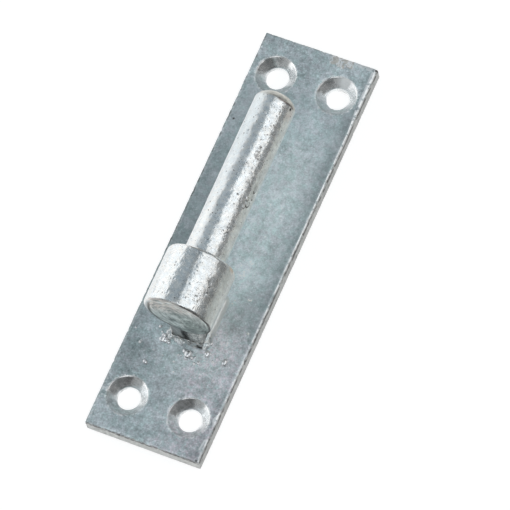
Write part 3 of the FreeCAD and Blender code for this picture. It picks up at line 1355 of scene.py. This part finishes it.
@dataclass
class WeldBead(Piece):
    """The rippled fillet weld round the neck's foot; each lump has its place, radius and height."""

    corner_radius: float = 1.0
    voxel: float = 0.15
    lump_height: float = 0.45
    heel_squeeze: float = 0.6
    slope_share: float = 0.94
    lump_level: float = 0.5
    hole_across: float = 3.9
    hole_before_heel: float = 1.0
    hole_level: float = 0.6
    hole_radius: float = 1.5
    hole_depth: float = 0.9
    lumps: tuple[tuple[float, float, float, float], ...] = (
        (-5.8, -30.9, 1.2, 0.65),
        (-5.0, -32.2, 1.1, 0.6),
        (-2.9, -32.3, 0.9, 0.6),
        (-1.9, -32.5, 0.9, 0.6),
        (-0.9, -32.7, 0.8, 0.5),
        (2.4, -32.8, 0.8, 0.5),
        (5.4, -32.2, 1.0, 0.6),
        (6.1, -30.5, 1.0, 0.5),
    )

    def build(self) -> bpy.types.Object:
        """Models the weld and dresses it.

        Returns:
            The finished piece.
        """
        size = self.sizes
        leg = size.weld_leg
        half_width = size.neck_width / 2 + leg
        half_length = size.neck_length / 2 + leg
        foot = Vector((0, size.neck_middle, size.plate_thickness))
        Bench.clear()
        bpy.ops.mesh.primitive_plane_add(size=2, location=foot * MM)
        bpy.context.object.scale = Vector((half_width, half_length, 1)) * MM
        self.obj = Bench.settle("weld_bead_zinc")
        with Bench.editing(self.obj, Select.POINTS):
            Bench.pick_all()
            bpy.ops.mesh.bevel(offset=(self.corner_radius + leg) * MM, segments=8, affect="VERTICES")
        with Bench.editing(self.obj, Select.FACES):
            Bench.pick_all()
            bpy.ops.mesh.inset(thickness=leg * MM, depth=0)
            bpy.ops.mesh.delete(type="FACE")
            Bench.pick_all()
            Bench.draw_out((0, 0, leg * MM))
            Bench.face_outward()
        with Bench.editing(self.obj, Select.EDGES):
            Bench.pick_edges(self.obj, lambda a, b: self.on_outer_top(a) and self.on_outer_top(b))
            bpy.ops.mesh.bevel(offset=self.slope_share * leg * MM, segments=5, profile=0.4, affect="EDGES")
        Bench.skin(self.obj, self.voxel, 2)
        self.weather()
        return self.dress()

    def on_outer_top(self, place: Vector) -> bool:
        """Tells whether a point of the plain weld lies on its upper outer edge.

        Args:
            place: The point in millimetres.

        Returns:
            True for a point that is high and away from the neck.
        """
        size = self.sizes
        beside = abs(place.x) - size.neck_width / 2
        beyond = abs(place.y - size.neck_middle) - size.neck_length / 2
        away = math.hypot(max(beside, 0), max(beyond, 0))
        return away >= size.weld_leg / 2 and place.z >= size.plate_thickness + size.weld_leg / 2

    def weather(self) -> None:
        """Gives the weld its ripples, its lumps, painted near white as highlights, and the hole at its
        corner, painted dark as shade.
        """
        size = self.sizes
        leg = size.weld_leg
        relief = Relief(self.obj)
        at_heel = np.clip((size.neck_heel + 2.0 - relief.y) / 2.5, 0, 1)
        lumps = relief.noise(2.0, 9.0)
        shown = np.clip((relief.z - size.plate_thickness) / 0.4, 0, 1)
        relief.push(shown * (self.lump_height * at_heel * (lumps - 0.1) + 0.06 * lumps - 0.12))
        beyond = relief.points[:, 1] < size.neck_heel
        squeezed = size.neck_heel + self.heel_squeeze * (relief.points[:, 1] - size.neck_heel)
        relief.points[:, 1] = np.where(beyond, squeezed, relief.points[:, 1])
        # The lumps' mark paints them near white, without metal, as painted highlights.
        for across, along, radius, height in self.lumps:
            relief.dent((across, along, size.plate_thickness + self.lump_level), radius, -height, "lump")
        # The hole's pit mark paints it dark as shade.
        hole_along = size.neck_heel - self.hole_before_heel
        hole = (self.hole_across, hole_along, size.plate_thickness + self.hole_level)
        relief.dent(hole, self.hole_radius, self.hole_depth, "pit")
        half = size.neck_width / 2 + leg
        low = (-half, size.neck_heel - leg, size.plate_thickness)
        high = (half, size.neck_end + leg, size.plate_thickness + leg)
        relief.write(low, high)


@dataclass(frozen=True)
class Drop:
    """One frozen drop of weld metal on the plate, long and turned by some degrees if it ran."""

    across: float
    along: float
    radius: float
    height: float
    stretch: float = 1.0
    turn: float = 0.0


@dataclass
class Spatter(Piece):
    """Drops of weld metal, thrown on the plate round the weld and dipped with it."""

    drops: tuple[Drop, ...] = (
        Drop(1.8, -35.0, 1.3, 1.1),
        Drop(0.7, -34.5, 0.9, 0.8),
        Drop(2.8, -35.5, 0.7, 0.5),
        Drop(1.6, -36.1, 0.6, 0.4),
        Drop(6.7, -33.0, 1.0, 0.8),
        Drop(7.5, -32.9, 0.45, 0.3),
        Drop(-8.6, -41.2, 0.75, 0.7),
        Drop(12.4, -33.7, 1.05, 0.95),
        Drop(-12.4, -36.2, 0.5, 0.4),
        Drop(-6.0, -33.2, 1.0, 0.75),
        Drop(-7.1, -33.4, 0.7, 0.5),
        Drop(-6.8, -32.0, 0.7, 0.6),
        Drop(-4.9, -33.5, 0.7, 0.55),
        Drop(-1.85, -32.8, 0.46, 1.15, 2.5, -14.6),
        Drop(-8.9, -30.0, 0.55, 0.5),
        Drop(5.4, -36.3, 0.55, 0.4),
        Drop(6.6, -29.8, 0.6, 0.5),
        Drop(4.4, -36.9, 0.45, 0.3),
    )
    fine_drops: int = 30
    fine_radius: tuple[float, float] = (0.18, 0.2)
    fine_flatness: float = 0.6
    nearest: float = 6.5
    throw: float = 12.0
    widest: float = 16.0
    dome_cut: float = 0.1
    foot_step: float = 0.12
    foot_flares: tuple[float, ...] = (1.12, 1.15)
    seed: int = 41

    def build(self) -> bpy.types.Object:
        """Models one drop, copies it to each place and dresses them.

        Returns:
            The finished piece.
        """
        first = self.model_drop()
        rng = random.Random(self.seed)
        copies = []
        for drop in self.drops + tuple(self.fine(rng) for _ in range(self.fine_drops)):
            copies.append(self.place(first, drop, rng))
        bpy.data.objects.remove(first)
        self.obj = copies[0]
        Bench.join(self.obj, copies[1:])
        self.obj.name = self.obj.data.name = "weld_spatter"
        relief = Relief(self.obj)
        relief.push(0.05 * relief.noise(0.8, 15.0))
        # The long drop is marked as a lump, which paints it near white, without metal, as a painted
        # highlight.
        for drop in self.drops:
            if drop.stretch > 1:
                middle = (drop.across, drop.along, self.sizes.plate_thickness + drop.height)
                relief.dent(middle, 1.5 * drop.stretch * drop.radius, 0.0, "lump")
        low, high = (tuple(value / MM for value in corner) for corner in CAD_BOX)
        relief.write(low, high)
        Bench.take(self.obj)
        bpy.ops.object.shade_smooth()
        return self.dress()

    def fine(self, rng: random.Random) -> Drop:
        """A small drop somewhere round the weld, most likely close to it.

        Args:
            rng: The source of chance.

        Returns:
            The drop.
        """
        turn = math.tau * rng.random()
        reach = self.nearest + self.throw * rng.random() ** 2
        across = max(-self.widest, min(self.widest, reach * math.cos(turn)))
        along = self.sizes.neck_middle - 4 + 1.2 * reach * math.sin(turn)
        least, spread = self.fine_radius
        radius = least + spread * rng.random()
        return Drop(across, along, radius, self.fine_flatness * radius)

    def model_drop(self) -> bpy.types.Object:
        """Models a drop of unit radius and height: a dome cut off at the plate, with a flared foot.

        Returns:
            The drop, in millimetres as metres, about the origin.
        """
        Bench.clear()
        bpy.ops.mesh.primitive_uv_sphere_add(segments=18, ring_count=12, radius=1)
        drop = Bench.settle("drop")
        with Bench.editing(drop, Select.POINTS):
            Bench.pick_all()
            bpy.ops.mesh.bisect(plane_co=(0, 0, self.dome_cut), plane_no=(0, 0, 1), clear_inner=True)
            bpy.ops.mesh.select_all(action="DESELECT")
            bpy.ops.mesh.select_non_manifold()
            for flare in self.foot_flares:
                Bench.draw_out((0, 0, -self.foot_step))
                bpy.ops.transform.resize(value=(flare, flare, 1), center_override=(0, 0, 0))
            bpy.ops.mesh.edge_face_add()
            Bench.face_outward()
        return drop

    def place(self, first: bpy.types.Object, drop: Drop, rng: random.Random) -> bpy.types.Object:
        """Copies the drop to its place on the plate.

        Args:
            first: The modelled drop.
            drop: Where it goes and how large it is.
            rng: The source of chance for its turn and squeeze.

        Returns:
            The copy, with its own mesh.
        """
        copy = first.copy()
        copy.data = first.data.copy()
        bpy.context.scene.collection.objects.link(copy)
        squeeze = 0.8 + 0.4 * rng.random()
        chance = math.tau * rng.random()
        ran = drop.stretch > 1
        turn = Matrix.Rotation(math.radians(drop.turn) if ran else chance, 4, "Z")
        length = drop.radius * (drop.stretch if ran else squeeze)
        scale = Matrix.Diagonal((length, drop.radius if ran else drop.radius / squeeze, drop.height, 1))
        place = Matrix.Translation((drop.across, drop.along, self.sizes.plate_thickness))
        copy.data.transform(Matrix.Scale(MM, 4) @ place @ turn @ scale)
        return copy


@dataclass(frozen=True)
class Softbox:
    """A plain rectangular studio light; its places and sizes are in metres."""

    name: str
    place: Point
    faces: Point
    width: float
    length: float
    radiance: float
    colour: Colour = (1.0, 1.0, 1.0)

    def hang(self) -> None:
        """Hangs the light, with its length along the part."""
        lamp = bpy.data.lights.new(self.name, "AREA")
        lamp.shape = "RECTANGLE"
        lamp.size = self.width
        lamp.size_y = self.length
        lamp.energy = self.radiance * math.pi * self.width * self.length
        lamp.color = self.colour
        outward = (Vector(self.place) - Vector(self.faces)).normalized()
        along = (Vector((0, 1, 0)) - outward * outward.y).normalized()
        axes = Matrix((along.cross(outward), along, outward)).transposed().to_4x4()
        obj = bpy.data.objects.new(self.name, lamp)
        obj.matrix_world = Matrix.Translation(self.place) @ axes
        bpy.context.scene.collection.objects.link(obj)


@dataclass
class Studio:
    """A pale floor, soft lights and the camera.

    The camera's target and distance and the card's fade are in millimetres, the other lengths in metres.
    """

    azimuth: float = 40.87
    elevation: float = 65.52
    roll: float = -18.87
    distance: float = 1357.74
    target: Point = (5.41, 1.13, -1.22)
    focal_pixels: float = 4848.4
    floor_radius: float = 6.0
    floor_drop: float = 0.05
    floor_glow: float = 0.8
    floor_white: float = 0.35
    sky_colour: Colour = (0.3, 0.35, 0.385)
    horizon_back: Colour = (0.22, 0.23, 0.23)
    horizon_right: Colour = (0.24, 0.245, 0.245)
    horizon_front: Colour = (0.1, 0.1, 0.1)
    horizon_front_left: Colour = (0.32, 0.33, 0.33)
    horizon_left: Colour = (0.25, 0.26, 0.26)
    card_place: Point = (1.526, 0.1, 0.0002)
    card_size: Point = (3.0, 4.0, 1.0)
    card_fade: tuple[float, float] = (120.0, 350.0)
    card_colour: Colour = (0.86, 0.84, 0.79)
    card_far_colour: Colour = (0.25, 0.25, 0.25)
    softboxes: tuple[Softbox, ...] = (
        Softbox("key", (0.5, 0.297, 0.75), (0, 0, 0), 0.96, 1.2, 0.84, (1.0, 0.98, 0.965)),
        Softbox("left", (-0.75, 0.2, 0.35), (0, 0.2, 0.35), 0.7, 1.6, 0.93),
        Softbox("front", (0.1, -0.6, 0.75), (0, 0, 0), 0.7, 0.5, 1.5),
    )

    def build(self) -> None:
        """Sets the stage, the lights, the world and the camera."""
        self.lay_floor()
        self.lay_card()
        for softbox in self.softboxes:
            softbox.hang()
        self.fill_world()
        self.place_camera()
        bpy.context.scene.view_settings.view_transform = "Standard"

    def lay_floor(self) -> None:
        """Lays a white floor that keeps the part's shadow."""
        Bench.clear()
        bpy.ops.mesh.primitive_circle_add(
            vertices=64, radius=self.floor_radius, fill_type="NGON", location=(0, 0, -self.floor_drop * MM),
        )
        floor = Bench.settle("floor")
        material, sheet = Sheet.of_material("white_floor")
        seen = sheet.add("ShaderNodeLightPath", output="Is Camera Ray")
        for kind in ("Is Glossy Ray", "Is Transmission Ray"):
            seen = seen.at_least(sheet.add("ShaderNodeLightPath", output=kind))
        grey = (self.floor_white,) * 3 + (1.0,)
        paper = sheet.add("ShaderNodeBsdfDiffuse", None, {"Color": grey}, "BSDF")
        glow = sheet.add("ShaderNodeEmission", None, {"Strength": self.floor_glow * seen}, "Emission")
        both = sheet.add("ShaderNodeAddShader", None, {0: paper, 1: glow})
        sheet.add("ShaderNodeOutputMaterial", None, {"Surface": both})
        floor.data.materials.append(material)

    def lay_card(self) -> None:
        """Lays a card on the right, pale near the part and grey beyond, which only reflections show."""
        Bench.clear()
        bpy.ops.mesh.primitive_plane_add(size=1, location=self.card_place)
        bpy.context.object.scale = self.card_size
        card = Bench.settle("grey_card")
        material, sheet = Sheet.of_material("grey_card")
        away = sheet.axis(sheet.place(), "X")
        colour = sheet.blend(away.span(*self.card_fade), self.card_colour, self.card_far_colour)
        paper = sheet.add("ShaderNodeBsdfDiffuse", None, {"Color": colour}, "BSDF")
        sheet.add("ShaderNodeOutputMaterial", None, {"Surface": paper})
        card.data.materials.append(material)
        card.visible_camera = False
        card.visible_shadow = False
        card.visible_diffuse = False

    def fill_world(self) -> None:
        """Fills the room with a soft light that fades towards the horizon."""
        world = bpy.data.worlds.new("room")
        world.use_nodes = True
        sheet = Sheet(world.node_tree)
        way = sheet.add("ShaderNodeTexCoord", output="Generated")
        x, y, z = (sheet.axis(way, name) for name in "XYZ")
        side = x.bearing(y)
        sideways = sheet.blend(x.span(-0.2, 0.2), self.horizon_left, self.horizon_right)
        horizon = sheet.blend(abs(side).span(0.0, 90.0), self.horizon_back, sideways)
        front = sheet.blend(x.span(-0.4, 0.15), self.horizon_front_left, self.horizon_front)
        horizon = sheet.blend(abs(side).span(90.0, 180.0), horizon, front)
        colour = sheet.blend(z.span(0.35, 0.85), horizon, self.sky_colour)
        light = sheet.add("ShaderNodeBackground", None, {"Color": colour, "Strength": 1.0}, "Background")
        sheet.add("ShaderNodeOutputWorld", None, {"Surface": light})
        bpy.context.scene.world = world

    def place_camera(self) -> None:
        """Puts the camera where the photograph was taken from."""
        turn, tilt, roll = (math.radians(angle) for angle in (self.azimuth, self.elevation, self.roll))
        back = Vector((math.sin(turn) * math.cos(tilt), -math.cos(turn) * math.cos(tilt), math.sin(tilt)))
        level = Vector((math.cos(turn), math.sin(turn), 0))
        upright = back.cross(level)
        right = level * math.cos(roll) + upright * math.sin(roll)
        up = back.cross(right)
        place = (Vector(self.target) + back * self.distance) * MM
        lens = bpy.data.cameras.new("camera")
        lens.sensor_width = SENSOR_WIDTH
        lens.lens = self.focal_pixels * SENSOR_WIDTH / PHOTO_PIXELS
        camera = bpy.data.objects.new("camera", lens)
        axes = Matrix((right, up, back)).transposed().to_4x4()
        camera.matrix_world = Matrix.Translation(place) @ axes
        bpy.context.scene.collection.objects.link(camera)
        bpy.context.scene.camera = camera


def show(piece: bpy.types.Object, node: str | None = None) -> None:
    """Hands over a modelled piece.

    Args:
        piece: The modelled piece.
        node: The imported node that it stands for, if any.
    """
    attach(piece, BODY)
    if node is not None:
        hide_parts(node)
    log.info("%s: %d faces", piece.name, len(piece.data.polygons))


def main() -> None:
    """Builds the pieces in order, then the studio."""
    logging.basicConfig(level=logging.INFO, format="%(name)s: %(message)s")
    sizes = Sizes.from_frame()
    plate_zinc = PlateZinc(
        sizes=sizes, name="plate_zinc", cool=(0.475, 0.567, 0.575), warm=(0.525, 0.57, 0.595), metallic=0.6,
        roughness=0.42, mottle_size=4.0, grain_size=1.1, grain_depth=0.03, mottle_depth=0.15,
        fleck_share=0.35, contrast=0.9,
    )
    pin_zinc = PinZinc(
        sizes=sizes, name="pin_zinc", cool=(0.78, 0.82, 0.84), warm=(0.84, 0.84, 0.82), metallic=0.95,
        roughness=0.26, mottle_size=2.5, grain_size=0.9, grain_depth=0.05, mottle_depth=0.17,
        fleck_share=0.1, contrast=0.35,
    )
    weld_zinc = WeldZinc(
        sizes=sizes, name="weld_zinc", cool=(0.5, 0.55, 0.56), warm=(0.57, 0.57, 0.55), metallic=0.8,
        roughness=0.28, mottle_size=1.6, grain_size=0.6, grain_depth=0.03, mottle_depth=0.15,
        fleck_share=0.2, contrast=0.8,
    )
    bright_zinc = WeldZinc(
        sizes=sizes, name="spatter_zinc", cool=(0.72, 0.75, 0.77), warm=(0.78, 0.77, 0.77), metallic=0.95,
        roughness=0.27, mottle_size=1.0, grain_size=0.5, grain_depth=0.01, mottle_depth=0.05,
        fleck_share=0.0, contrast=0.3,
    )
    show(BackPlate(sizes, plate_zinc).build(), "back_plate")
    show(HingePin(sizes, pin_zinc).build(), "hinge_pin")
    show(WeldBead(sizes, weld_zinc).build(), "weld_bead")
    show(Spatter(sizes, bright_zinc).build())
    Studio().build()


if __name__ == "__main__":
    main()
